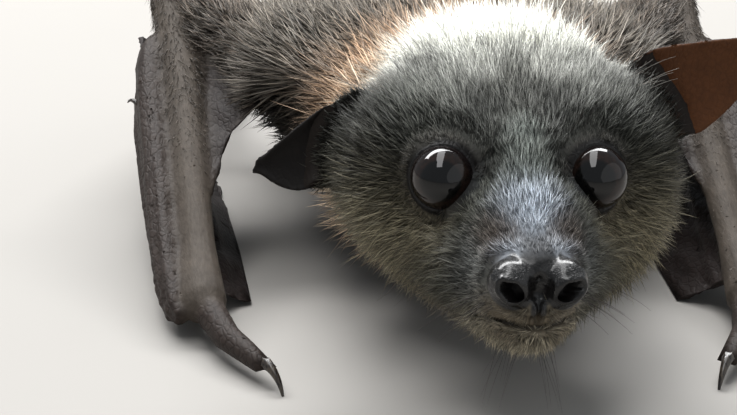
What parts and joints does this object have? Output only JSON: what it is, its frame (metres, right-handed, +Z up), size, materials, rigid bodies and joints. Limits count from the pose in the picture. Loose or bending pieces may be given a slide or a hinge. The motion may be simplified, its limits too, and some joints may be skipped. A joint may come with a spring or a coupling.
{
  "type": "flying fox pup model",
  "caption": "Life-size young grey flying fox lying on its belly with folded wings and raised head, furred, with bare pointed ears, large dark eyes and hooked claws.",
  "frame": {"origin": "on the floor, under the middle of the animal's own box", "axes": "+Z up; the face points towards -Y and the feet towards +Y; +X is the animal's left"},
  "size_m": [0.1092, 0.1972, 0.0515],
  "materials": {
    "face_fur": "short dark grey fur flecked with pale tips, cream on the crown",
    "mantle_fur": "longer tan to russet fur round the neck and shoulders",
    "back_fur": "dense dark grey fur with a light frosting",
    "ear": "thin bare skin, dark brown",
    "eye": "wet, mirror smooth, very dark brown",
    "wing_skin": "thin, soft, finely wrinkled, brown-black",
    "claw": "smooth dark horn"
  },
  "bodies": {
    "root": {"head": "face_fur", "lower_jaw": "face_fur", "eye_left": "eye", "eye_right": "eye", "ear_left": "ear", "ear_right": "ear", "neck": "mantle_fur", "trunk": "back_fur", "upper_arm_left": "back_fur", "upper_arm_right": "back_fur", "forearm_left": "wing_skin", "forearm_right": "wing_skin", "folded_fingers_left": "wing_skin", "folded_fingers_right": "wing_skin", "index_claw_left": "claw", "index_claw_right": "claw", "thumb_left": "wing_skin", "thumb_right": "wing_skin", "thumb_claw_left": "claw", "thumb_claw_right": "claw", "fore_membrane_left": "wing_skin", "fore_membrane_right": "wing_skin", "side_membrane_left": "wing_skin", "side_membrane_right": "wing_skin", "thigh_left": "back_fur", "thigh_right": "back_fur", "shank_left": "back_fur", "shank_right": "back_fur", "foot_left": "wing_skin", "foot_right": "wing_skin", "toe_claw_left_1": "claw", "toe_claw_left_2": "claw", "toe_claw_left_3": "claw", "toe_claw_left_4": "claw", "toe_claw_left_5": "claw", "toe_claw_right_1": "claw", "toe_claw_right_2": "claw", "toe_claw_right_3": "claw", "toe_claw_right_4": "claw", "toe_claw_right_5": "claw"}
  },
  "joints": []
}
